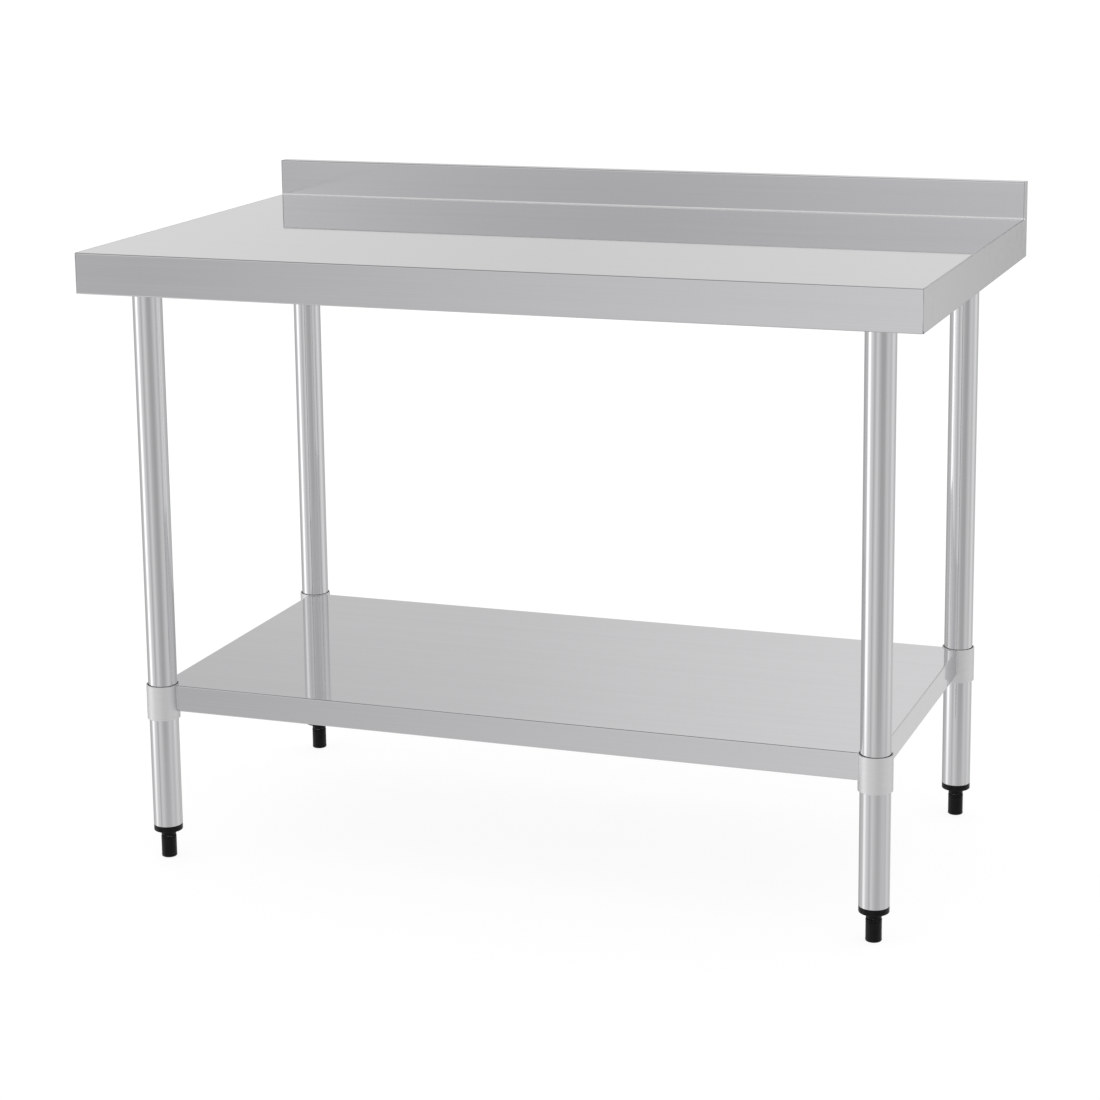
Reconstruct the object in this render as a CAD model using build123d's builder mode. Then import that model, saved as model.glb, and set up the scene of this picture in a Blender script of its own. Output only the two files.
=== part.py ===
from build123d import *
import math
import os

# Stainless work table: a folded worktop with a rear upstand on four tube legs, an undershelf on
# sliding collars, and screw-in feet. Millimetres, +Z up, front towards -Y. The origin is on the
# floor under the middle of the table.

# ---- driving dimensions ---------------------------------------------------------------------
WIDTH = 1200.0              # across X
DEPTH = 700.0               # along Y
WORK_HEIGHT = 900.0         # floor to worktop
UPSTAND_RISE = 55.0         # above the worktop
UPSTAND_DEPTH = 20.0
APRON = 58.0                # drop of the worktop's front and side aprons
TOP_SHEET = 1.2             # worktop sheet
TOP_FOLD = 2.0              # outer radius of its folds
LIP = 14.0                  # inward return along the foot of each apron
PLATE_EDGE = 0.8            # rounding along the outline of an end plate

LEG_D = 42.0
LEG_WALL = 1.2
LEG_X = 528.0               # leg axes, left and right
LEG_FRONT_Y = -277.0        # leg axes, front pair
LEG_REAR_Y = 257.0          # leg axes, rear pair

SHELF_TOP = 262.0           # floor to the shelf's upper face
SHELF_DROP = 38.5           # height of its aprons
SHELF_SHEET = 1.0
SHELF_FOLD = 1.6
SHELF_HALF_X = 530.5        # shelf edges: left and right, front, rear
SHELF_FRONT_Y = -280.0
SHELF_REAR_Y = 251.0
SHELF_LIP = 12.0

COLLAR_D = 47.5
COLLAR_TOP = 263.0
COLLAR_H = 51.0
SLIDE_GAP = 0.08            # radial clearance of a collar on its leg

CHANNEL_CROWN = 60.0        # hat channels under the worktop
CHANNEL_FLANGE = 15.0
CHANNEL_H = 20.0
CHANNEL_SHEET = 1.5

SOCKET_PLATE = (56.0, 84.0, 2.5)
SOCKET_D = 47.5
SOCKET_FIT = 0.1            # radial clearance of a leg in its socket
BOLT_SPREAD = 32.5          # socket bolt from the leg's axis, along the channel
BOLT_HOLE_R = 3.2

TUBE_END = 50.0             # floor to the lower end of a leg tube
FLANGE_H = 9.0              # foot insert: flange, boss under it, plug in the tube
BOSS_D = 21.5
BOSS_H = 8.5
PLUG_H = 30.0
STUD_D = 12.0
STUD_GAP = 0.05             # radial clearance of a stud in its bores
STUD_SHOULDER = 0.8         # washer face on the stud between boot and boss
BOOT_D = 22.5
STUD_IN_BOOT = 20.0
STUD_TRAVEL_ROOM = 36.0     # length of stud above its shoulder

# ---- levels worked out from them ------------------------------------------------------------
TOP_UNDERSIDE = WORK_HEIGHT - TOP_SHEET
APRON_FOOT = WORK_HEIGHT - APRON
CROWN_UNDERSIDE = TOP_UNDERSIDE - CHANNEL_H
PLATE_UNDERSIDE = CROWN_UNDERSIDE - SOCKET_PLATE[2]
SOCKET_FOOT = APRON_FOOT + 2.0
UPSTAND_FACE_Y = DEPTH / 2 - UPSTAND_DEPTH
BOOT_TOP = TUBE_END - FLANGE_H - BOSS_H - STUD_SHOULDER

CORNERS = {
    "front_left": (-LEG_X, LEG_FRONT_Y),
    "front_right": (LEG_X, LEG_FRONT_Y),
    "rear_left": (-LEG_X, LEG_REAR_Y),
    "rear_right": (LEG_X, LEG_REAR_Y),
}

os.makedirs("parts", exist_ok=True)


def save(piece, label):
    """Name a finished piece and write it as its own STEP file."""
    piece.part.label = label
    export_step(piece.part, f"parts/{label}.step")


# ---- worktop --------------------------------------------------------------------------------
def worktop_section(inset, foot):
    """Corner points (Y, Z) of the worktop's outer section, moved inwards by inset."""
    front = -DEPTH / 2 + inset
    rear = DEPTH / 2 - inset
    face = UPSTAND_FACE_Y + inset
    return [
        (front, foot),
        (front, WORK_HEIGHT - inset),
        (face, WORK_HEIGHT - inset),
        (face, WORK_HEIGHT + UPSTAND_RISE - inset),
        (rear, WORK_HEIGHT + UPSTAND_RISE - inset),
        (rear, foot),
    ]


def above_foot(shape):
    """Vertices or edges of the section above the level of the lips."""
    return shape.center().Z > APRON_FOOT + 1


SHEET_END_X = WIDTH / 2 - TOP_SHEET

# One folded sheet: front apron, flat top, boxed upstand, rear apron, and a lip along each apron's
# foot. Its section is extruded along the width, between the two end plates.
with BuildPart() as worktop:
    with BuildSketch(Plane.YZ):
        section = Polygon(*worktop_section(0.0, APRON_FOOT), align=None)
        fillet(section.vertices().filter_by(above_foot), radius=TOP_FOLD)
        Polygon(*worktop_section(TOP_SHEET, APRON_FOOT + TOP_SHEET), align=None, mode=Mode.SUBTRACT)
        with Locations((0, APRON_FOOT + TOP_SHEET / 2)):
            Rectangle(DEPTH - 2 * LIP, TOP_SHEET, mode=Mode.SUBTRACT)
    extrude(amount=SHEET_END_X, both=True)
save(worktop, "worktop")

# Each end is one plate welded on: the outline of the whole section, with its own lip folded in.
for side, sign in (("left", -1), ("right", 1)):
    end_plane = Plane(origin=(sign * SHEET_END_X, 0, 0), x_dir=(0, 1, 0), z_dir=(1, 0, 0))
    with BuildPart() as end_plate:
        with BuildSketch(end_plane):
            outline = Polygon(*worktop_section(0.0, APRON_FOOT), align=None)
            fillet(outline.vertices().filter_by(above_foot), radius=TOP_FOLD)
        extrude(amount=sign * TOP_SHEET)
        faces_across = end_plate.faces().sort_by(Axis.X)
        outer_face = faces_across[-1] if sign > 0 else faces_across[0]
        fillet(outer_face.edges().filter_by(above_foot), radius=PLATE_EDGE)
        with BuildSketch(Plane.XY.offset(APRON_FOOT)):
            with Locations((sign * (WIDTH - LIP) / 2, 0)):
                Rectangle(LIP, DEPTH - 2 * LIP)
        extrude(amount=TOP_SHEET)
    save(end_plate, f"end_plate_{side}")


# ---- hat channels ---------------------------------------------------------------------------
def hat_section(crown, flange, height, sheet):
    """Corner points of a hat channel's section, crown down, flanges up at height zero."""
    half = crown / 2
    right = [
        (half + flange, 0),
        (half + flange, -sheet),
        (half, -sheet),
        (half, -height),
    ]
    inner = [(half - sheet, -height + sheet), (half - sheet, 0)]
    left = [(-x, z) for x, z in reversed(right)]
    return right + left + [(-x, z) for x, z in reversed(inner)] + inner


def hat_channel(plane, length, crown, flange, height, sheet, holes=()):
    """A hat channel along the plane's normal, both ways from it, with bolt holes in its crown."""
    with BuildPart() as channel:
        with BuildSketch(plane):
            hat = Polygon(*hat_section(crown, flange, height, sheet), align=None)
            fillet(hat.vertices(), radius=sheet * 0.45)
        extrude(amount=length / 2, both=True)
        for x, y in holes:
            with BuildSketch(Plane.XY.offset(plane.origin.Z - height)):
                with Locations((x, y)):
                    Circle(BOLT_HOLE_R)
            extrude(amount=sheet, mode=Mode.SUBTRACT)
    return channel


CROSS_FRONT_Y = -DEPTH / 2 + 10.0
CROSS_REAR_Y = UPSTAND_FACE_Y - 5.0
CROSS_MID_Y = (CROSS_FRONT_Y + CROSS_REAR_Y) / 2
CHANNEL_W = CHANNEL_CROWN + 2 * CHANNEL_FLANGE
LONG_CHANNEL_L = 2 * (LEG_X - CHANNEL_W / 2 - 1.0)

for side, x in (("left", -LEG_X), ("right", LEG_X)):
    across = Plane(origin=(x, CROSS_MID_Y, TOP_UNDERSIDE), x_dir=(-1, 0, 0), z_dir=(0, 1, 0))
    holes = [(x, y + dy) for y in (LEG_FRONT_Y, LEG_REAR_Y) for dy in (-BOLT_SPREAD, BOLT_SPREAD)]
    channel = hat_channel(across, CROSS_REAR_Y - CROSS_FRONT_Y, CHANNEL_CROWN, CHANNEL_FLANGE,
                          CHANNEL_H, CHANNEL_SHEET, holes)
    save(channel, f"cross_channel_{side}")

along = Plane(origin=(0, CROSS_MID_Y, TOP_UNDERSIDE), x_dir=(0, 1, 0), z_dir=(1, 0, 0))
long_channel = hat_channel(along, LONG_CHANNEL_L, CHANNEL_CROWN, CHANNEL_FLANGE, CHANNEL_H,
                           CHANNEL_SHEET)
save(long_channel, "long_channel")


# ---- leg sockets ----------------------------------------------------------------------------
GRUB_D = 6.0
SOCKET_GRUB_Z = SOCKET_FOOT + 14.0
GRUB_BOSS_D = 13.0
GRUB_BOSS_L = 5.0


def inward(x):
    """Unit vector from a leg towards the middle of the table, along X."""
    return Vector(-1 if x > 0 else 1, 0, 0)


def radial_plane(x, y, z, reach, direction):
    """A plane facing along direction, at reach from a leg's axis."""
    return Plane(origin=Vector(x, y, z) + direction * reach, z_dir=direction)


for corner, (x, y) in CORNERS.items():
    with BuildPart() as socket:
        with BuildSketch(Plane.XY.offset(PLATE_UNDERSIDE)):
            with Locations((x, y)):
                RectangleRounded(SOCKET_PLATE[0], SOCKET_PLATE[1], 4.0)
            with Locations((x, y - BOLT_SPREAD), (x, y + BOLT_SPREAD)):
                Circle(BOLT_HOLE_R, mode=Mode.SUBTRACT)
        extrude(amount=SOCKET_PLATE[2])
        with BuildSketch(Plane.XY.offset(SOCKET_FOOT)):
            with Locations((x, y)):
                Circle(SOCKET_D / 2)
        extrude(amount=PLATE_UNDERSIDE - SOCKET_FOOT)
        # Boss for the grub screw, on the side facing the middle of the table.
        with BuildSketch(radial_plane(x, y, SOCKET_GRUB_Z, 0.0, inward(x))):
            Circle(GRUB_BOSS_D / 2)
        extrude(amount=SOCKET_D / 2 + GRUB_BOSS_L)
        with BuildSketch(Plane.XY.offset(SOCKET_FOOT)):
            with Locations((x, y)):
                Circle(LEG_D / 2 + SOCKET_FIT)
        extrude(amount=PLATE_UNDERSIDE - SOCKET_FOOT, mode=Mode.SUBTRACT)
        with BuildSketch(radial_plane(x, y, SOCKET_GRUB_Z, 0.0, inward(x))):
            Circle(GRUB_D / 2)
        extrude(amount=SOCKET_D / 2 + GRUB_BOSS_L, mode=Mode.SUBTRACT)
    save(socket, f"socket_{corner}")


# ---- fasteners ------------------------------------------------------------------------------
HEX_AF = 10.0
BOLT_HEAD_H = 4.0
NUT_H = 5.0
SHANK_L = SOCKET_PLATE[2] + CHANNEL_SHEET + NUT_H + 2.0
HEX_R = HEX_AF / math.sqrt(3)
SHANK_R = 3.0
KEY_AF = 3.0
KEY_DEPTH = 3.0

bolt_places = [(x, y + dy) for x, y in CORNERS.values() for dy in (-BOLT_SPREAD, BOLT_SPREAD)]

with BuildPart() as socket_bolts:
    with BuildSketch(Plane.XY.offset(PLATE_UNDERSIDE - BOLT_HEAD_H)):
        with Locations(*bolt_places):
            RegularPolygon(HEX_R, 6)
    extrude(amount=BOLT_HEAD_H)
    with BuildSketch(Plane.XY.offset(PLATE_UNDERSIDE)):
        with Locations(*bolt_places):
            Circle(SHANK_R)
    extrude(amount=SHANK_L)
save(socket_bolts, "socket_bolts")

with BuildPart() as socket_nuts:
    with BuildSketch(Plane.XY.offset(CROWN_UNDERSIDE + CHANNEL_SHEET)):
        with Locations(*bolt_places):
            RegularPolygon(HEX_R, 6)
            Circle(SHANK_R, mode=Mode.SUBTRACT)
    extrude(amount=NUT_H)
save(socket_nuts, "socket_nuts")


def grub_screws(height, start, length, direction_of):
    """Four hex-key grub screws, from start outwards along each leg's own direction."""
    with BuildPart() as screws:
        for x, y in CORNERS.values():
            direction = direction_of(x, y)
            with BuildSketch(radial_plane(x, y, height, start, direction)):
                Circle(GRUB_D / 2)
            extrude(amount=length)
            with BuildSketch(radial_plane(x, y, height, start + length, direction)):
                RegularPolygon(KEY_AF / math.sqrt(3), 6)
            extrude(amount=-KEY_DEPTH, mode=Mode.SUBTRACT)
    return screws


socket_grubs = grub_screws(SOCKET_GRUB_Z, LEG_D / 2, 8.0, lambda x, y: inward(x))
save(socket_grubs, "socket_grub_screws")


# ---- legs -----------------------------------------------------------------------------------
for corner, (x, y) in CORNERS.items():
    with BuildPart() as leg:
        with BuildSketch(Plane.XY.offset(TUBE_END)):
            with Locations((x, y)):
                Circle(LEG_D / 2)
                Circle(LEG_D / 2 - LEG_WALL, mode=Mode.SUBTRACT)
        extrude(amount=PLATE_UNDERSIDE - TUBE_END)
        lower_rim = leg.edges().filter_by(GeomType.CIRCLE).group_by(Axis.Z)[0].sort_by(SortBy.RADIUS)[-1]
        fillet(lower_rim, radius=0.6)
    save(leg, f"leg_{corner}")


# ---- feet -----------------------------------------------------------------------------------
FLANGE_UNDERSIDE = TUBE_END - FLANGE_H
BOSS_UNDERSIDE = FLANGE_UNDERSIDE - BOSS_H
BORE_TOP = TUBE_END + PLUG_H
PLUG_D = LEG_D - 2 * LEG_WALL

for corner, (x, y) in CORNERS.items():
    with BuildPart() as foot_insert:
        with BuildSketch(Plane.XY.offset(FLANGE_UNDERSIDE)):
            with Locations((x, y)):
                Circle(LEG_D / 2)
        extrude(amount=FLANGE_H)
        fillet(foot_insert.edges().group_by(Axis.Z)[0], radius=1.2)
        with BuildSketch(Plane.XY.offset(BOSS_UNDERSIDE)):
            with Locations((x, y)):
                Circle(BOSS_D / 2)
        extrude(amount=BOSS_H)
        with BuildSketch(Plane.XY.offset(TUBE_END)):
            with Locations((x, y)):
                Circle(PLUG_D / 2)
        extrude(amount=PLUG_H)
        with BuildSketch(Plane.XY.offset(BOSS_UNDERSIDE)):
            with Locations((x, y)):
                Circle(STUD_D / 2 + STUD_GAP)
        extrude(amount=BORE_TOP - BOSS_UNDERSIDE, mode=Mode.SUBTRACT)
    save(foot_insert, f"foot_insert_{corner}")

    with BuildPart() as foot_stud:
        with BuildSketch(Plane.XY.offset(BOOT_TOP - STUD_IN_BOOT)):
            with Locations((x, y)):
                Circle(STUD_D / 2)
        extrude(amount=STUD_IN_BOOT + STUD_SHOULDER + STUD_TRAVEL_ROOM)
        with BuildSketch(Plane.XY.offset(BOOT_TOP)):
            with Locations((x, y)):
                Circle(BOSS_D / 2 - 1.5)
        extrude(amount=STUD_SHOULDER)
        chamfer(foot_stud.edges().group_by(Axis.Z)[-1], length=1.0)
    save(foot_stud, f"foot_stud_{corner}")

    with BuildPart() as foot_boot:
        with BuildSketch(Plane.XY):
            with Locations((x, y)):
                Circle(BOOT_D / 2)
        extrude(amount=BOOT_TOP)
        fillet(foot_boot.edges().group_by(Axis.Z)[0], radius=1.8)
        fillet(foot_boot.edges().group_by(Axis.Z)[-1], radius=0.8)
        with BuildSketch(Plane.XY.offset(BOOT_TOP - STUD_IN_BOOT)):
            with Locations((x, y)):
                Circle(STUD_D / 2 + STUD_GAP)
        extrude(amount=STUD_IN_BOOT, mode=Mode.SUBTRACT)
    save(foot_boot, f"foot_boot_{corner}")


# ---- undershelf -----------------------------------------------------------------------------
SHELF_FOOT = SHELF_TOP - SHELF_DROP
SHELF_MID_Y = (SHELF_FRONT_Y + SHELF_REAR_Y) / 2
SHELF_W = 2 * SHELF_HALF_X
SHELF_D = SHELF_REAR_Y - SHELF_FRONT_Y

with BuildPart() as undershelf:
    with BuildSketch(Plane.XY.offset(SHELF_FOOT)):
        with Locations((0, SHELF_MID_Y)):
            Rectangle(SHELF_W, SHELF_D)
    extrude(amount=SHELF_DROP)
    fillet(undershelf.edges().group_by(Axis.Z)[-1], radius=SHELF_FOLD)
    with BuildSketch(Plane.XY.offset(SHELF_FOOT + SHELF_SHEET)):
        with Locations((0, SHELF_MID_Y)):
            Rectangle(SHELF_W - 2 * SHELF_SHEET, SHELF_D - 2 * SHELF_SHEET)
    extrude(amount=SHELF_DROP - 2 * SHELF_SHEET, mode=Mode.SUBTRACT)
    with BuildSketch(Plane.XY.offset(SHELF_FOOT)):
        with Locations((0, SHELF_MID_Y)):
            Rectangle(SHELF_W - 2 * SHELF_LIP, SHELF_D - 2 * SHELF_LIP)
    extrude(amount=SHELF_SHEET, mode=Mode.SUBTRACT)
    # Corners notched round, to the collars that are welded into them.
    with BuildSketch(Plane.XY.offset(SHELF_FOOT)):
        with Locations(*CORNERS.values()):
            Circle(COLLAR_D / 2)
    extrude(amount=SHELF_DROP, mode=Mode.SUBTRACT)
save(undershelf, "undershelf")

SHELF_CHANNEL_L = SHELF_W - 2 * SHELF_LIP - 20.0
under_shelf = Plane(origin=(0, SHELF_MID_Y, SHELF_TOP - SHELF_SHEET), x_dir=(0, 1, 0), z_dir=(1, 0, 0))
shelf_channel = hat_channel(under_shelf, SHELF_CHANNEL_L, 50.0, 15.0, 22.0, 1.2)
save(shelf_channel, "shelf_channel")

# ---- shelf collars --------------------------------------------------------------------------
COLLAR_GRUB_Z = SHELF_TOP - 24.0


def to_middle(x, y):
    """Unit vector on the diagonal from a leg towards the middle of the table."""
    return Vector(-math.copysign(1, x), -math.copysign(1, y), 0).normalized()


for corner, (x, y) in CORNERS.items():
    with BuildPart() as collar:
        with BuildSketch(Plane.XY.offset(COLLAR_TOP - COLLAR_H)):
            with Locations((x, y)):
                Circle(COLLAR_D / 2)
        extrude(amount=COLLAR_H)
        fillet(collar.edges().filter_by(GeomType.CIRCLE), radius=0.5)
        with BuildSketch(Plane.XY.offset(COLLAR_TOP - COLLAR_H)):
            with Locations((x, y)):
                Circle(LEG_D / 2 + SLIDE_GAP)
        extrude(amount=COLLAR_H, mode=Mode.SUBTRACT)
        with BuildSketch(radial_plane(x, y, COLLAR_GRUB_Z, 0.0, to_middle(x, y))):
            Circle(GRUB_D / 2)
        extrude(amount=COLLAR_D / 2 + 1, mode=Mode.SUBTRACT)
    save(collar, f"collar_{corner}")

COLLAR_GRUB_START = LEG_D / 2 + SLIDE_GAP + 0.02
collar_grubs = grub_screws(COLLAR_GRUB_Z, COLLAR_GRUB_START, 5.0, to_middle)
save(collar_grubs, "collar_grub_screws")
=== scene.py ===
import math

import bmesh
import bpy
import numpy as np
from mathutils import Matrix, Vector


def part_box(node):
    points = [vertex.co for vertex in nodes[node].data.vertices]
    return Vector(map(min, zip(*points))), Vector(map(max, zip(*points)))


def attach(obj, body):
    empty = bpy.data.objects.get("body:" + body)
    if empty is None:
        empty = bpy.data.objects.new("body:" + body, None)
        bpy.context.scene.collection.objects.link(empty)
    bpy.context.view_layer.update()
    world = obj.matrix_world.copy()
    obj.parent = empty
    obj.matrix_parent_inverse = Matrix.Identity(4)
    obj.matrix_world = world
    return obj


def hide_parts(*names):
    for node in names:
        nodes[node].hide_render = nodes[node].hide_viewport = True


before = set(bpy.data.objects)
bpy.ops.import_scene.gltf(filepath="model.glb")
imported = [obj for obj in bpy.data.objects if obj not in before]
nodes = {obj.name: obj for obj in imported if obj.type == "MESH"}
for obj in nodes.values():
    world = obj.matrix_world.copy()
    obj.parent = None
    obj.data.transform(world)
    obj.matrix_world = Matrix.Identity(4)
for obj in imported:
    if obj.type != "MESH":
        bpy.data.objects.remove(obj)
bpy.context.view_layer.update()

# ---- worktop sheet ---------------------------------------------------------------------------
# One sheet of 1.2 mm stainless, brushed along its length and pressed to shape: front apron, flat
# top, boxed upstand and rear apron. A lip runs along the foot of each apron and turns up behind.
SHEET = 0.0012
TOP_FOLD = 0.002
LIP = 0.014
LIP_RETURN = 0.006
UPSTAND_DEPTH = 0.020
END_GAP = 0.0006            # open seam between the sheet and each end plate
SAME_LEVEL = 0.0002         # heights closer than this count as one level

sheet_low, sheet_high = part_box("worktop")
WORK_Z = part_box("long_channel")[1].z + SHEET


def folded_line(corners, radius, steps=6):
    """A line through corners, each inner one turned on a tangent arc of the radius: where the heading
    is h, the arc runs by bend x (sin h, -cos h). Also the unit normal to the left at each point."""
    corners = np.array(corners, float)
    runs = np.diff(corners, axis=0)
    headings = np.unwrap(np.arctan2(runs[:, 1], runs[:, 0]))
    points, turned_to = [corners[:1]], [headings[:1]]
    for corner, before, after in zip(corners[1:-1], headings[:-1], headings[1:]):
        bend = math.copysign(radius, after - before)
        back = radius * math.tan(abs(after - before) / 2)
        start = corner - back * np.array([math.cos(before), math.sin(before)])
        angle = np.linspace(before, after, steps + 1)
        swing = np.stack([np.sin(angle) - math.sin(before), math.cos(before) - np.cos(angle)], axis=1)
        points.append(start + bend * swing)
        turned_to.append(angle)
    points = np.concatenate(points + [corners[-1:]])
    angle = np.concatenate(turned_to + [headings[-1:]])
    return points, np.stack([-np.sin(angle), np.cos(angle)], axis=1)


def sheet_outline(corners, radius, thickness):
    """The closed outline of a folded sheet: its outer line, and back along the same line moved to the
    right by its thickness."""
    line, left = folded_line(corners, radius)
    return np.concatenate([line, (line - left * thickness)[::-1]])


def carried(outline, axis, stations, setback=0.0):
    """Rings: the flat outline stood at each station along an axis. A setback for each point draws it
    back from both ends, as at a mitre."""
    rings = np.empty((len(stations), len(outline), 3))
    stations = np.array(stations, float)[:, None]
    middle = stations.mean()
    rings[..., axis] = stations - np.sign(stations - middle) * setback
    rings[..., [a for a in range(3) if a != axis]] = outline
    return rings


def skin(rings, closed=False):
    """Points and faces through rings, an array (rings, points in a ring, 3): quads join each ring to
    the next. The end rings are capped, or joined to each other when closed."""
    rows, around = rings.shape[:2]
    index = np.arange(rows * around).reshape(rows, around)
    if closed:
        index = np.vstack([index, index[:1]])
    near, far = index[:-1], index[1:]
    quads = np.stack([near, np.roll(near, -1, 1), np.roll(far, -1, 1), far], axis=-1)
    faces = quads.reshape(-1, 4).tolist()
    if not closed:
        faces += [index[0][::-1].tolist(), index[-1].tolist()]
    return rings.reshape(-1, 3), faces


def piece(name, skins, finish, body, stands_for=(), sharp=38.0):
    """One mesh of several closed skins, faces outward, smooth but for edges over the sharp angle. It
    rides on a body and stands for the CAD nodes named."""
    points, faces, base = [], [], 0
    for some_points, some_faces in skins:
        points.append(some_points)
        faces += [[base + i for i in face] for face in some_faces]
        base += len(some_points)
    mesh = bpy.data.meshes.new(name)
    mesh.from_pydata(np.concatenate(points), [], faces)
    shell = bmesh.new()
    shell.from_mesh(mesh)
    bmesh.ops.recalc_face_normals(shell, faces=shell.faces)
    shell.to_mesh(mesh)
    shell.free()
    mesh.shade_smooth()
    mesh.set_sharp_from_angle(angle=math.radians(sharp))
    mesh.materials.append(finish)
    made = bpy.data.objects.new(name, mesh)
    bpy.context.scene.collection.objects.link(made)
    level = made.modifiers.new("flats stay flat", "WEIGHTED_NORMAL")
    level.keep_sharp = True
    level.weight = 100
    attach(made, body)
    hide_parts(*stands_for)
    return made


def blank_material(name):
    """A new material, its node tree, its shader and its Object coordinates."""
    made = bpy.data.materials.new(name)
    made.use_nodes = True
    tree = made.node_tree
    where = tree.nodes.new("ShaderNodeTexCoord").outputs["Object"]
    return made, tree, tree.nodes["Principled BSDF"], where


def stretched_noise(tree, where, scale, detail=3.0, rough=0.6):
    """Noise on Object coordinates multiplied by scale, so a small factor draws it out long."""
    mapping = tree.nodes.new("ShaderNodeMapping")
    mapping.inputs["Scale"].default_value = scale
    noise = tree.nodes.new("ShaderNodeTexNoise")
    noise.inputs["Scale"].default_value = 1.0
    noise.inputs["Detail"].default_value = detail
    noise.inputs["Roughness"].default_value = rough
    tree.links.new(where, mapping.inputs["Vector"])
    tree.links.new(mapping.outputs["Vector"], noise.inputs["Vector"])
    return noise.outputs["Fac"]


def spread(tree, value, low, high, start=0.3, end=0.7):
    """A value between start and end, spread over low to high and held there beyond them."""
    ranged = tree.nodes.new("ShaderNodeMapRange")
    for socket, number in zip(("From Min", "From Max", "To Min", "To Max"), (start, end, low, high)):
        ranged.inputs[socket].default_value = number
    tree.links.new(value, ranged.inputs["Value"])
    return ranged.outputs["Result"]


def reckon(tree, operation, *values):
    """A Math node on sockets or plain numbers."""
    sum_node = tree.nodes.new("ShaderNodeMath")
    sum_node.operation = operation
    for socket, value in zip(sum_node.inputs, values):
        if isinstance(value, (int, float)):
            socket.default_value = value
        else:
            tree.links.new(value, socket)
    return sum_node.outputs[0]


def two_tone(tree, value, dark, light):
    """Colour between dark and light by a value from 0 to 1."""
    mix = tree.nodes.new("ShaderNodeMix")
    mix.data_type = "RGBA"
    mix.inputs[6].default_value = (*dark, 1.0)
    mix.inputs[7].default_value = (*light, 1.0)
    tree.links.new(value, mix.inputs[0])
    return mix.outputs[2]


def coated(tree, under, colour, share):
    """A colour socket covered by a plain colour, by a share from 0 to 1."""
    mix = tree.nodes.new("ShaderNodeMix")
    mix.data_type = "RGBA"
    mix.inputs[7].default_value = (*colour, 1.0)
    tree.links.new(share, mix.inputs[0])
    tree.links.new(under, mix.inputs[6])
    return mix.outputs[2]


def bumped(tree, shader, height, distance, strength=1.0):
    """The shader's normal, tipped by a height that counts as that many metres."""
    bump = tree.nodes.new("ShaderNodeBump")
    bump.inputs["Strength"].default_value = strength
    bump.inputs["Distance"].default_value = distance
    tree.links.new(height, bump.inputs["Height"])
    tree.links.new(bump.outputs["Normal"], shader.inputs["Normal"])


def worn_line(tree, where, marks, reach):
    """1 along the line where every marked coordinate has its value, fading to 0 at the reach."""
    split = tree.nodes.new("ShaderNodeSeparateXYZ")
    tree.links.new(where, split.inputs[0])
    line = None
    for axis, at in marks.items():
        off = reckon(tree, "ABSOLUTE", reckon(tree, "SUBTRACT", split.outputs[axis], at))
        close = spread(tree, off, 1.0, 0.0, 0.0, reach)
        line = close if line is None else reckon(tree, "MULTIPLY", line, close)
    return line


STREAK_WIDTH = 0.08         # scale of the streaks, as a share of the grain's
CLOUDS = 7.0                # handling marks to a metre
CLOUD_DULL = 0.012          # roughness they add at most
UPPER_DULL = 0.07           # roughness added above a height
RUB_LIGHT = 0.8             # share of the way to the lighter tone along a worn line
RUB_DULL = 0.25             # roughness added there
# Pale colour of the film painted along a line as a highlight.
HIGHLIGHT_FILM_COLOUR = (0.80, 0.80, 0.80)


def steel_finish(name, grain, dark, light, rough, grain_height, worn=(), highlight_lines=(), reach=0.003,
                 dull_above=None):
    """Rolled and brushed steel. The grain's noise and its broader streaks shade the metal and vary its
    roughness; faint clouds are handling marks; worn lines are rubbed duller and lighter; along each
    highlight line a pale matt film is painted on as a highlight, which hides part of the metal. Above a
    height it may be duller."""
    made, tree, shader, where = blank_material(name)
    fine = stretched_noise(tree, where, grain, detail=4.0)
    streaks = stretched_noise(tree, where, [factor * STREAK_WIDTH for factor in grain], detail=2.0)
    clouds = stretched_noise(tree, where, (CLOUDS, CLOUDS, CLOUDS), detail=3.0)
    tone = reckon(tree, "ADD", spread(tree, fine, 0.0, 0.6), spread(tree, streaks, 0.0, 0.4))
    dull = reckon(tree, "ADD", spread(tree, fine, *rough), spread(tree, clouds, 0.0, CLOUD_DULL))
    if dull_above is not None:
        split = tree.nodes.new("ShaderNodeSeparateXYZ")
        tree.links.new(where, split.inputs[0])
        upper = spread(tree, split.outputs["Z"], 0.0, UPPER_DULL, dull_above, dull_above + reach)
        dull = reckon(tree, "ADD", dull, upper)
    patchy = spread(tree, streaks, 0.35, 1.0)
    rub = None
    for marks in worn:
        line = reckon(tree, "MULTIPLY", worn_line(tree, where, marks, reach), patchy)
        rub = line if rub is None else reckon(tree, "MAXIMUM", rub, line)
    if rub is not None:
        tone = reckon(tree, "ADD", tone, reckon(tree, "MULTIPLY", rub, RUB_LIGHT))
        dull = reckon(tree, "ADD", dull, reckon(tree, "MULTIPLY", rub, RUB_DULL))
    shader.inputs["Metallic"].default_value = 1.0
    surface = two_tone(tree, tone, dark, light)
    # A painted highlight: along each such line a pale matt film covers the metal's colour and takes away
    # its metalness.
    for marks in highlight_lines:
        line = spread(tree, worn_line(tree, where, marks, reach), 0.0, 0.95, 0.25, 0.6)
        highlight_film = reckon(tree, "MULTIPLY", line, spread(tree, streaks, 0.8, 1.0))
        surface = coated(tree, surface, HIGHLIGHT_FILM_COLOUR, highlight_film)
        tree.links.new(reckon(tree, "SUBTRACT", 1.0, highlight_film), shader.inputs["Metallic"])
    tree.links.new(surface, shader.inputs["Base Color"])
    tree.links.new(dull, shader.inputs["Roughness"])
    bumped(tree, shader, fine, grain_height)
    return made


# Along the foot of the upstand a pale film is painted on as a highlight.
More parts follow.
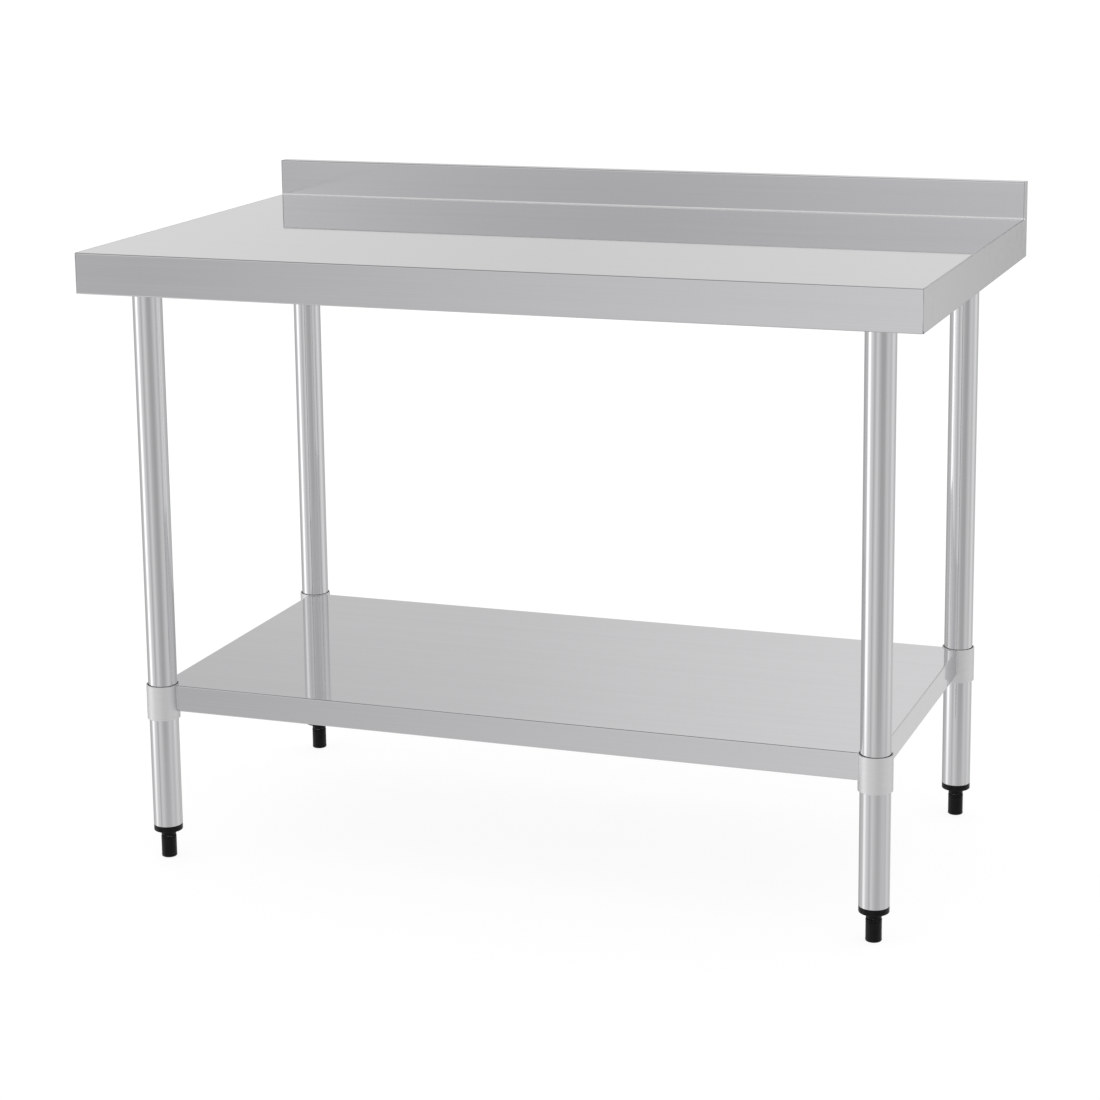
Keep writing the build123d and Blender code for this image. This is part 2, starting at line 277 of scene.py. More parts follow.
worktop_steel = steel_finish(
    "worktop_steel", grain=(3.0, 900.0, 900.0), dark=(0.606, 0.606, 0.620), light=(0.648, 0.648, 0.661),
    rough=(0.012, 0.035), grain_height=0.0000005,
    worn=[{"Z": sheet_high.z}, {"X": sheet_low.x}, {"X": sheet_high.x}],
    highlight_lines=[{"Y": sheet_high.y - UPSTAND_DEPTH, "Z": WORK_Z}], dull_above=WORK_Z + TOP_FOLD)

foot_z, rear_y, front_y = sheet_low.z, sheet_high.y, sheet_low.y
face_y = rear_y - UPSTAND_DEPTH
sheet_path = [(front_y + LIP, foot_z + LIP_RETURN), (front_y + LIP, foot_z), (front_y, foot_z),
              (front_y, WORK_Z), (face_y, WORK_Z), (face_y, sheet_high.z), (rear_y, sheet_high.z),
              (rear_y, foot_z), (rear_y - LIP, foot_z), (rear_y - LIP, foot_z + LIP_RETURN)]
sheet_ring = sheet_outline(sheet_path, TOP_FOLD, SHEET)


def mitre(across, low, high, heights, foot):
    """How far a lip's points stand in from the aprons they hang from, and 0 above the lips."""
    inward = np.minimum(across - low, high - across).clip(0.0, None)
    return np.where(heights < foot + LIP_RETURN + SAME_LEVEL, inward, 0.0)


sheet_mitre = mitre(sheet_ring[:, 0], front_y, rear_y, sheet_ring[:, 1], foot_z)
sheet_ends = (sheet_low.x + END_GAP, sheet_high.x - END_GAP)
piece("worktop_sheet", [skin(carried(sheet_ring, 0, sheet_ends, sheet_mitre))], worktop_steel, "frame",
      ["worktop"])

# ---- worktop end plates ----------------------------------------------------------------------
# Each end is closed by one plate in the outline of the whole section, upstand and all, welded on
# and dressed back to a small round. Its own lip is folded in between the front and rear lips.
PLATE_ROUND = 0.0008        # rounding along the plate's outline
FOLD_STRIP = 0.004          # height of the folded strip that carries the plate's lip
STRIP_GAP = 0.00012         # gap at each end of that strip
INNER_BEAD = 0.00075        # size of the weld along the inside


def spangle_finish(name, dark, light, rough, cell, grain_height):
    """Metal that set in crystals a few millimetres across, each with its own tone and dullness, as a
    zinc coating or a weld does."""
    made, tree, shader, where = blank_material(name)
    crystals = tree.nodes.new("ShaderNodeTexVoronoi")
    crystals.inputs["Scale"].default_value = 1.0 / cell
    tree.links.new(where, crystals.inputs["Vector"])
    split = tree.nodes.new("ShaderNodeSeparateColor")
    tree.links.new(crystals.outputs["Color"], split.inputs[0])
    mist = stretched_noise(tree, where, (40.0, 40.0, 40.0))
    crystal_tone = reckon(tree, "MULTIPLY", split.outputs[0], 0.6)
    tone = reckon(tree, "ADD", crystal_tone, spread(tree, mist, 0.0, 0.4))
    tree.links.new(two_tone(tree, tone, dark, light), shader.inputs["Base Color"])
    tree.links.new(spread(tree, split.outputs[1], *rough, 0.0, 1.0), shader.inputs["Roughness"])
    shader.inputs["Metallic"].default_value = 1.0
    bumped(tree, shader, mist, grain_height)
    return made


weld_metal = spangle_finish("weld_metal", dark=(0.36, 0.36, 0.37), light=(0.52, 0.52, 0.53),
                            rough=(0.3, 0.45), cell=0.003, grain_height=0.00004)

plate_foot = foot_z + FOLD_STRIP
plate_path = [(front_y, plate_foot), (front_y, WORK_Z), (face_y, WORK_Z), (face_y, sheet_high.z),
              (rear_y, sheet_high.z), (rear_y, plate_foot)]
plate_line, plate_left = folded_line(plate_path, TOP_FOLD)
quarter = np.linspace(0.0, math.pi / 2, 5)
for side, sign in (("left", -1.0), ("right", 1.0)):
    low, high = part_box(f"end_plate_{side}")
    outer_x = max(abs(low.x), abs(high.x))
    turn = np.linspace(0.0, math.pi / 2, 6)
    insets = np.concatenate([[0.0], PLATE_ROUND * (1 - np.cos(turn))])
    places = np.concatenate([[outer_x - SHEET], outer_x - PLATE_ROUND * (1 - np.sin(turn))])
    plate = np.empty((len(places), len(plate_line), 3))
    plate[..., 0] = sign * places[:, None]
    plate[..., 1:] = plate_line - plate_left * insets[:, None, None]
    back_x = sign * (outer_x - LIP)
    strip_path = [(sign * outer_x, plate_foot), (sign * outer_x, foot_z), (back_x, foot_z),
                  (back_x, foot_z + LIP_RETURN)]
    strip_ring = sheet_outline(strip_path, TOP_FOLD, SHEET * sign)
    strip_mitre = mitre(sign * strip_ring[:, 0], -outer_x, outer_x, strip_ring[:, 1], foot_z)
    strip = carried(strip_ring, 1, (front_y, rear_y), strip_mitre + STRIP_GAP)
    piece(f"worktop_end_{side}", [skin(plate), skin(strip)], worktop_steel, "frame",
          [f"end_plate_{side}"])

    # The weld itself lies inside, a small bead in the corner all along the section.
    bead_in = np.concatenate([[0.0], INNER_BEAD * np.cos(quarter)])
    bead_down = SHEET + np.concatenate([[0.0], INNER_BEAD * np.sin(quarter)])
    bead = np.empty((len(plate_line), len(bead_in), 3))
    bead[..., 0] = sign * (outer_x - SHEET - bead_in)
    bead[..., 1:] = plate_line[:, None, :] - plate_left[:, None, :] * bead_down[:, None]
    piece(f"end_weld_{side}", [skin(bead)], weld_metal, "frame")

# ---- undershelf ------------------------------------------------------------------------------
# The shelf is a pan of 1 mm stainless, brighter rolled than the top, with four folded aprons and
# lips. Its corners are notched round to fit the collars.
SHELF_SHEET = 0.001
SHELF_FOLD = 0.0016
SHELF_LIP = 0.012
SHELF_RETURN = 0.005
LIP_TAPER = 0.1             # how far a shelf lip's end slants back, as a share of its depth
NOTCH_POINTS = 15
CORNERS = {"front_left": (-1, -1), "front_right": (1, -1), "rear_left": (-1, 1), "rear_right": (1, 1)}

shelf_low, shelf_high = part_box("undershelf")
collar_low, collar_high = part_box("collar_front_right")
collar_r = (collar_high.x - collar_low.x) / 2
leg_axes = {}
for corner in CORNERS:
    low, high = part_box(f"leg_{corner}")
    leg_axes[corner] = ((low.x + high.x) / 2, (low.y + high.y) / 2)

shelf_steel = steel_finish(
    "shelf_steel", grain=(3.0, 700.0, 700.0), dark=(0.602, 0.602, 0.614), light=(0.643, 0.643, 0.654),
    rough=(0.03, 0.06), grain_height=0.0000006,
    worn=[{"Y": shelf_low.y, "Z": shelf_high.z}, {"Y": shelf_high.y, "Z": shelf_high.z},
          {"X": shelf_low.x, "Z": shelf_high.z}, {"X": shelf_high.x, "Z": shelf_high.z}])


def notched_plan(inset):
    """The pan's outline in plan, its straight edges moved in by inset and a round notch about each
    leg: the notch runs on the collar's circle from one edge to the next."""
    outline = []
    for corner in ("front_left", "front_right", "rear_right", "rear_left"):
        x, y = leg_axes[corner]
        side_x, side_y = CORNERS[corner]
        edge_x = (shelf_high.x if side_x > 0 else shelf_low.x) - side_x * inset
        edge_y = (shelf_high.y if side_y > 0 else shelf_low.y) - side_y * inset
        on_side = (edge_x - x, -side_y * math.sqrt(collar_r ** 2 - (edge_x - x) ** 2))
        on_front = (-side_x * math.sqrt(collar_r ** 2 - (edge_y - y) ** 2), edge_y - y)
        ends = [math.atan2(on_side[1], on_side[0]), math.atan2(on_front[1], on_front[0])]
        if side_x != side_y:
            ends.reverse()
        start, end = np.unwrap(ends)
        angle = np.linspace(start, end, NOTCH_POINTS)
        arc = np.stack([x + collar_r * np.cos(angle), y + collar_r * np.sin(angle)], axis=1)
        outline.append(arc)
    return np.concatenate(outline)


top_plan = notched_plan(2 * SHELF_FOLD)
pan_top = np.stack([np.column_stack([top_plan, np.full(len(top_plan), z)])
                    for z in (shelf_high.z - SHELF_SHEET, shelf_high.z)])
pan_skins = [skin(pan_top)]
shelf_foot = shelf_low.z
low_leg, high_leg = leg_axes["front_left"], leg_axes["rear_right"]
for axis, sign in ((1, -1), (1, 1), (0, -1), (0, 1)):
    edge = (shelf_high if sign > 0 else shelf_low)[axis]
    lip_edge = edge - sign * SHELF_LIP
    apron_path = [(edge - sign * 2 * SHELF_FOLD, shelf_high.z), (edge, shelf_high.z), (edge, shelf_foot),
                  (lip_edge, shelf_foot), (lip_edge, shelf_foot + SHELF_RETURN)]
    apron_ring = sheet_outline(apron_path, SHELF_FOLD, SHELF_SHEET * sign)
    from_leg = edge - (high_leg if sign > 0 else low_leg)[axis]
    notch = math.sqrt(collar_r ** 2 - from_leg ** 2)
    other = 1 - axis
    ends = (low_leg[other] + notch + END_GAP, high_leg[other] - notch - END_GAP)
    inward = (sign * (edge - apron_ring[:, 0])).clip(0.0, None)
    on_lip = apron_ring[:, 1] < shelf_foot + SHELF_RETURN + SAME_LEVEL
    setback = np.where(on_lip, inward * LIP_TAPER, 0.0)
    pan_skins.append(skin(carried(apron_ring, other, ends, setback)))
piece("undershelf_pan", pan_skins, shelf_steel, "shelf", ["undershelf"])

# ---- hat channels ----------------------------------------------------------------------------
# Galvanised hat channels stiffen the worktop and the shelf. Their flanges are spot-welded up
# against the sheet, and each weld leaves a shallow round dimple with a raised rim.
CHANNEL_SHEETS = {"cross_channel_left": 0.0015, "cross_channel_right": 0.0015, "long_channel": 0.0015,
                  "shelf_channel": 0.0012}
CHANNEL_FLANGE = 0.015
SPOT_R = 0.003
SPOT_PITCH = 0.075
SPOT_END = 0.03             # first and last weld from a channel's ends
SPOT_ROOM = 0.04            # length left out when the welds are counted

galvanised = spangle_finish("galvanised", dark=(0.44, 0.45, 0.47), light=(0.56, 0.57, 0.58),
                            rough=(0.3, 0.5), cell=0.006, grain_height=0.00002)


def turned(profile, centre, axis=(0, 0, 1), around=64, closed=False):
    """A skin turned round an axis: each profile entry is a radius and a height along the axis, either
    of which may vary with the angle as an array. The point is centre + height x axis + radius x
    (cos, sin) across it."""
    axis = np.array(axis, float)
    axis /= np.linalg.norm(axis)
    helper = np.array([1.0, 0.0, 0.0]) if abs(axis[0]) < 0.9 else np.array([0.0, 1.0, 0.0])
    across = np.cross(axis, helper)
    across /= np.linalg.norm(across)
    third = np.cross(axis, across)
    angle = np.arange(around) * 2 * math.pi / around
    circle = np.cos(angle)[:, None] * across + np.sin(angle)[:, None] * third
    radii = np.stack([np.broadcast_to(r, around) for r, _ in profile])
    heights = np.stack([np.broadcast_to(h, around) for _, h in profile])
    rings = np.array(centre, float) + radii[..., None] * circle + heights[..., None] * axis
    return skin(rings, closed)


def spot_welds(name, channel, along, body):
    """Dimples in two rows along a channel's flanges: each is a small turned dish."""
    low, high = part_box(channel)
    across = 1 - along
    count = int((high[along] - low[along] - SPOT_ROOM) / SPOT_PITCH)
    stations = np.linspace(low[along] + SPOT_END, high[along] - SPOT_END, count)
    dish = [(SPOT_R * 1.15, 0.0), (SPOT_R * 1.1, -0.00025), (SPOT_R, -0.0003), (SPOT_R * 0.8, -0.00012),
            (SPOT_R * 0.3, -0.00006)]
    skins = []
    for row in (low[across] + CHANNEL_FLANGE / 2, high[across] - CHANNEL_FLANGE / 2):
        for station in stations:
            centre = [0.0, 0.0, high.z - CHANNEL_SHEETS[channel]]
            centre[along], centre[across] = station, row
            skins.append(turned(dish, centre, around=12))
    return piece(name, skins, galvanised, body)


for channel in CHANNEL_SHEETS:
    nodes[channel].data.materials[0] = galvanised
spot_welds("spot_welds_left", "cross_channel_left", 1, "frame")
spot_welds("spot_welds_right", "cross_channel_right", 1, "frame")
spot_welds("spot_welds_long", "long_channel", 0, "frame")
spot_welds("spot_welds_shelf", "shelf_channel", 0, "shelf")

# ---- leg sockets -----------------------------------------------------------------------------
# A plate with a short sleeve takes the top of each leg. The sleeve is welded to the plate all
# round: the bead lies in the corner in overlapping ripples.
BEAD = 0.0028
BEAD_RIPPLES = 46
BEAD_SWELL = 0.12           # height of a ripple, as a share of the bead
BEAD_SUNK = 0.0003          # how deep the bead's back lies in the sleeve
BEAD_AROUND = 180

bead_angle = np.arange(BEAD_AROUND) * 2 * math.pi / BEAD_AROUND
ripple = 1.0 + BEAD_SWELL * np.cos(BEAD_RIPPLES * bead_angle)
bead_line = [(collar_r - BEAD_SUNK, 0.0)]
bead_line += [(collar_r + BEAD * math.cos(a) * ripple, -BEAD * math.sin(a) * ripple) for a in quarter]
bead_line += [(collar_r - BEAD_SUNK, -BEAD)]
for corner, (x, y) in leg_axes.items():
    nodes[f"socket_{corner}"].data.materials[0] = galvanised
    plate_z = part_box(f"leg_{corner}")[1].z
    round_leg = turned(bead_line, (x, y, plate_z), around=BEAD_AROUND, closed=True)
    piece(f"socket_weld_{corner}", [round_leg], weld_metal, "frame")

# ---- socket bolts, nuts and grub screws ------------------------------------------------------
# Two M6 flange bolts hold each socket to its channel, with nuts inside it. One grub screw in the
# side of each socket and of each collar grips the leg. All are bright zinc-plated steel.
HEX_AF = 0.010              # head and nut, across the flats
HEX_AROUND = 48
HEAD_H = 0.004
HEAD_WASHER = 0.0007        # height of the flange under the head
SHANK_R = 0.003
THREAD_PITCH = 0.001
THREAD_DEPTH = 0.00055
BOLT_SPREAD = 0.0325        # bolt from the leg's axis, along the channel
NUT_BORE_R = SHANK_R + 0.00002
NUT_LEAD_IN = 0.0005
GRUB_R = SHANK_R - 0.00005
GRUB_KEY_AF = 0.003
GRUB_KEY_DEPTH = 0.0025
GRUB_THREAD_DEPTH = 0.0005

zinc = steel_finish(
    "zinc", grain=(260.0, 260.0, 260.0), dark=(0.54, 0.54, 0.52), light=(0.68, 0.68, 0.66),
    rough=(0.2, 0.32), grain_height=0.000004)
hex_angle = np.arange(HEX_AROUND) * 2 * math.pi / HEX_AROUND


def hexagon(across_flats):
    """Radius round a hexagon: half the flats over the cosine of the angle from the nearest flat."""
    from_flat = (hex_angle + math.pi / 6) % (math.pi / 3) - math.pi / 6
    return across_flats / 2 / np.cos(from_flat)


def hex_rings(across_flats, low, high, chamfer_low, chamfer_high):
    """Profile up a hexagon whose corners are turned back at 30 degrees: the face drops by the slope
    times how far a corner stands outside the round land."""
    land = across_flats / 2 * 0.96
    radius = hexagon(across_flats)
    drop = (radius - land) * math.tan(math.radians(30))
    rings = []
    if chamfer_low:
        rings.append((land, low))
    rings.append((radius, low + (drop if chamfer_low else 0.0)))
    rings.append((radius, high - (drop if chamfer_high else 0.0)))
    if chamfer_high:
        rings.append((land, high))
    return rings


def thread_rings(radius, low, high, pitch, depth, steps=8, around=HEX_AROUND):
    """Profile up a screw thread: the radius falls by the depth and back once a pitch, and the phase
    turns once with the angle. The first and last turns run out to the core."""
    angle = np.arange(around) / around
    heights = np.arange(low, high, pitch / steps)
    rings = []
    for z in heights:
        phase = (z / pitch - angle) % 1.0
        run_out = min(1.0, (z - low) / pitch, (high - z) / pitch)
        rings.append((radius - depth + depth * run_out * np.abs(2 * phase - 1), z))
    return rings


bolt_low, bolt_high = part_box("socket_bolts")
nut_low, nut_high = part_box("socket_nuts")
head_foot = bolt_low.z + HEAD_H
bolts, nuts = [], []
for x, y in leg_axes.values():
    for side in (-1, 1):
        place = (x, y + side * BOLT_SPREAD, 0.0)
        # The head is stamped: its face is dished in the middle, and a flange spreads at its foot.
        bolt = [(HEX_AF * 0.18, bolt_low.z + 0.0005), (HEX_AF * 0.3, bolt_low.z + 0.0001)]
        bolt += hex_rings(HEX_AF, bolt_low.z, head_foot - HEAD_WASHER - 0.0002, True, False)
        bolt += [(HEX_AF * 0.62, head_foot - HEAD_WASHER), (HEX_AF * 0.66, head_foot)]
        bolt += [(SHANK_R - 0.0001, head_foot + 0.00005)]
        bolt += thread_rings(SHANK_R, nut_low.z - THREAD_PITCH, bolt_high.z - 0.0008, THREAD_PITCH,
                             THREAD_DEPTH)
        bolt += [(SHANK_R * 0.72, bolt_high.z)]
        bolts.append(turned(bolt, place, around=HEX_AROUND))
        nut = hex_rings(HEX_AF, nut_low.z, nut_high.z, True, True)
        nut += [(SHANK_R + NUT_LEAD_IN, nut_high.z), (NUT_BORE_R, nut_high.z - NUT_LEAD_IN),
                (NUT_BORE_R, nut_low.z + NUT_LEAD_IN), (SHANK_R + NUT_LEAD_IN, nut_low.z)]
        nuts.append(turned(nut, place, around=HEX_AROUND, closed=True))
piece("hex_flange_bolts", bolts, zinc, "frame", ["socket_bolts"], sharp=30.0)
piece("hex_nuts", nuts, zinc, "frame", ["socket_nuts"], sharp=30.0)


def grub_screw(centre, direction, start, length):
    """A hex-key grub screw along a direction: threaded, chamfered, its key socket sunk in the end."""
    end = start + length
    key = hexagon(GRUB_KEY_AF)
    rings = [(GRUB_R * 0.55, start), (GRUB_R * 0.8, start + 0.0003)]
    rings += thread_rings(GRUB_R, start + 0.0005, end - 0.0006, THREAD_PITCH, GRUB_THREAD_DEPTH)
    rings += [(GRUB_R * 0.82, end - 0.0003), (GRUB_R * 0.75, end), (key, end)]
    rings += [(key, end - GRUB_KEY_DEPTH), (GRUB_KEY_AF * 0.2, end - GRUB_KEY_DEPTH - 0.0006)]
    return turned(rings, centre, direction, around=HEX_AROUND)


def middle_z(node):
    """Height of a node's middle."""
    low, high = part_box(node)
    return (low.z + high.z) / 2


socket_grub_z = middle_z("socket_grub_screws")
collar_grub_z = middle_z("collar_grub_screws")
leg_low, leg_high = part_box("leg_front_left")
leg_r = (leg_high.x - leg_low.x) / 2
socket_screws, collar_screws = [], []
for corner, (x, y) in leg_axes.items():
    side_x, side_y = CORNERS[corner]
    socket_screws.append(grub_screw((x, y, socket_grub_z), (-side_x, 0, 0), leg_r, 0.008))
    collar_screws.append(grub_screw((x, y, collar_grub_z), (-side_x, -side_y, 0), leg_r + 0.0001, 0.005))
piece("socket_set_screws", socket_screws, zinc, "frame", ["socket_grub_screws"],
      sharp=30.0)
piece("collar_set_screws", collar_screws, zinc, "shelf", ["collar_grub_screws"],
      sharp=30.0)

# ---- legs ------------------------------------------------------------------------------------
# The legs are bright-drawn stainless tube, 42 mm across with a 1.2 mm wall, polished lengthwise.
# Both cut ends are deburred to a small round, and the lower rim bears on the foot's flange.
WALL = 0.0012
RIM = 0.0005

tube_steel = steel_finish(
    "tube_steel", grain=(800.0, 800.0, 2.5), dark=(0.575, 0.575, 0.585), light=(0.665, 0.665, 0.675),
    rough=(0.05, 0.10), grain_height=0.000001)


def rounded_tube(outer, inner, low, high, rim, steps=5):
    """Closed profile of a tube with both its rims rounded outside and in: each quarter circle runs
    from one wall to the next."""
    turn = np.linspace(0.0, math.pi / 2, steps)
    cos, sin = rim * (1 - np.cos(turn)), rim * (1 - np.sin(turn))
    outer_top = [(outer - a, high - b) for a, b in zip(cos, sin)]
    inner_top = [(inner + a, high - b) for a, b in zip(cos, sin)][::-1]
    inner_foot = [(inner + a, low + b) for a, b in zip(cos, sin)]
    outer_foot = [(outer - a, low + b) for a, b in zip(cos, sin)][::-1]
    return outer_top + inner_top + inner_foot + outer_foot


for corner, (x, y) in leg_axes.items():
    low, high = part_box(f"leg_{corner}")
    wall = rounded_tube(leg_r, leg_r - WALL, low.z, high.z, RIM)
    tube = turned(wall, (x, y, 0.0), around=160, closed=True)
    piece(f"leg_tube_{corner}", [tube], tube_steel, "frame", [f"leg_{corner}"])

# ---- shelf collars ---------------------------------------------------------------------------
# Cast collars with a satin face slide on the legs. Two short upright beads weld each one into the
# shelf's notched corner.
GAP_SHADE_REACH = 0.0014           # painted shade in the gap round the leg darkens the collar this far from it
# The near-black colour of that painted shade.
GAP_SHADE_COLOUR = (0.012, 0.012, 0.012)
CORNER_BEAD = 0.0011
CORNER_RIPPLES = 13
CORNER_SWELL = 0.14         # height of a ripple, as a share of the bead
CORNER_POINTS = 61
CORNER_SUNK = 0.0004        # how deep the bead's middle lies behind the apron


def satin_finish(name, dark, light, rough, grain_height, leg_x, leg_y, middle_y, gap_shade_r):
    """Bead-blasted metal: a fine even grit in tone, dullness and height. Painted shade darkens it near a
    leg's axis, out to the radius given, as the shade in the gap round the leg; folding X and Y about the
    middle of the table brings all four legs onto one."""
    made, tree, shader, where = blank_material(name)
    grit = stretched_noise(tree, where, (1400.0, 1400.0, 1400.0))
    turning = stretched_noise(tree, where, (30.0, 30.0, 900.0))
    tone = reckon(tree, "ADD", spread(tree, grit, 0.0, 0.5), spread(tree, turning, 0.0, 0.5))
    split = tree.nodes.new("ShaderNodeSeparateXYZ")
    tree.links.new(where, split.inputs[0])
    off_x = reckon(tree, "SUBTRACT", reckon(tree, "ABSOLUTE", split.outputs["X"]), leg_x)
    folded_y = reckon(tree, "ABSOLUTE", reckon(tree, "SUBTRACT", split.outputs["Y"], middle_y))
    off_y = reckon(tree, "SUBTRACT", folded_y, leg_y)
    square = reckon(tree, "ADD", reckon(tree, "POWER", off_x, 2.0), reckon(tree, "POWER", off_y, 2.0))
    # Painted shade: the colour goes near black in the gap round the leg, on the collar's rims and in its
    # bore.
    gap_shade = spread(tree, reckon(tree, "SQRT", square), 1.0, 0.0, gap_shade_r - 0.0003, gap_shade_r + 0.0001)
    surface = coated(tree, two_tone(tree, tone, dark, light), GAP_SHADE_COLOUR, gap_shade)
    tree.links.new(surface, shader.inputs["Base Color"])
    tree.links.new(spread(tree, grit, *rough), shader.inputs["Roughness"])
    shader.inputs["Metallic"].default_value = 1.0
    bumped(tree, shader, grit, grain_height)
    return made


middle_y = (leg_axes["front_left"][1] + leg_axes["rear_left"][1]) / 2
collar_satin = satin_finish(
    "collar_satin", dark=(0.66, 0.66, 0.67), light=(0.74, 0.74, 0.745), rough=(0.46, 0.54),
    grain_height=0.000004, leg_x=leg_axes["rear_right"][0], leg_y=leg_axes["rear_right"][1] - middle_y,
    middle_y=middle_y, gap_shade_r=leg_r + GAP_SHADE_REACH)

corner_heights = np.linspace(shelf_low.z + 0.0015, shelf_high.z - 0.001, CORNER_POINTS)
corner_turn = np.linspace(0.0, 2 * math.pi * CORNER_RIPPLES, CORNER_POINTS)
corner_taper = np.sin(np.linspace(0.12, math.pi - 0.12, CORNER_POINTS)) ** 0.2
corner_radii = CORNER_BEAD * (1.0 + CORNER_SWELL * np.cos(corner_turn)) * corner_taper
corner_line = list(zip(corner_radii, corner_heights))
for corner, (x, y) in leg_axes.items():
    nodes[f"collar_{corner}"].data.materials[0] = collar_satin
    side_x, side_y = CORNERS[corner]
    edge_x = shelf_high.x if side_x > 0 else shelf_low.x
    edge_y = shelf_high.y if side_y > 0 else shelf_low.y
    off_y = side_y * math.sqrt(collar_r ** 2 - (edge_x - x) ** 2)
    off_x = side_x * math.sqrt(collar_r ** 2 - (edge_y - y) ** 2)
    at_side = (edge_x - side_x * CORNER_SUNK, y - off_y, 0.0)
    at_front = (x - off_x, edge_y - side_y * CORNER_SUNK, 0.0)
    beads = [turned(corner_line, place, around=16) for place in (at_side, at_front)]
    piece(f"collar_weld_{corner}", beads, shelf_steel, "shelf")

# ---- feet ------------------------------------------------------------------------------------
# A black plastic plug is pressed into each tube, with a flange as wide as the tube and a short
# boss. An M12 stud screws up into it and carries a black boot with shallow grip flutes.
PLUG_FLANGE_H = 0.009
PLUG_FLANGE_ROUND = 0.0014  # lower edge of the flange
PLUG_RIM = 0.0005           # its upper edge, against the tube
BOSS_R = 0.01075
BOSS_ROUND = 0.0006
BOSS_ROOT = 0.0008          # hollow round between boss and flange
PLUG_IN = 0.0009            # how far the plug lies inside the tube's wall
BARB_IN = 0.00005           # how far its barbs do
BARB_PITCH = 0.006
BORE_LEAD_IN = 0.0004
STUD_R = 0.006
STUD_BORE_R = STUD_R + 0.00005
STUD_PITCH = 0.00175
STUD_THREAD = 0.0009        # depth of its thread
SHOULDER_R = 0.00925        # washer face on the stud, between boot and boss
SHOULDER_EDGE = 0.0002
SHOULDER_SEAT = 0.00005     # gap between it and the boot
SHOULDER_CLEAR = 0.0001     # gap between it and the boss
BOOT_AROUND = 240
BOOT_ROUND = 0.0018
BOOT_RIM = 0.0008
BOOT_PLAIN = 0.0032         # plain band at the boot's foot, and down to the groove at its top
SOLE_HOLLOW = 0.0008
FLUTES = 30
FLUTE_DEPTH = 0.00016
FLUTE_LAND = 0.00015        # how far the fluted band lies under the plain ones
GROOVE_DEPTH = 0.0007


def moulded_finish(name, colour, rough, grain_height):
    """Moulded plastic: a faint mottle in colour and shine over a fine pebbled grain."""
    made, tree, shader, where = blank_material(name)
    pebbles = stretched_noise(tree, where, (1300.0, 1300.0, 1300.0), detail=2.0)
    mottle = stretched_noise(tree, where, (90.0, 90.0, 90.0))
    lighter = [channel * 2.2 for channel in colour]
    shade = two_tone(tree, spread(tree, mottle, 0.0, 1.0), colour, lighter)
    tree.links.new(shade, shader.inputs["Base Color"])
    tree.links.new(spread(tree, mottle, *rough), shader.inputs["Roughness"])
    shader.inputs["Specular IOR Level"].default_value = 0.12
    bumped(tree, shader, pebbles, grain_height)
    return made


black_plastic = moulded_finish("black_plastic", colour=(0.0025, 0.0025, 0.0028), rough=(0.16, 0.26),
                               grain_height=0.000006)


def arc_profile(centre_r, centre_z, radius, start, end, steps=6):
    """Profile points on a quarter circle in the radius-height plane, angles in degrees from outward."""
    turn = np.radians(np.linspace(start, end, steps))
    return [(centre_r + radius * math.cos(a), centre_z + radius * math.sin(a)) for a in turn]


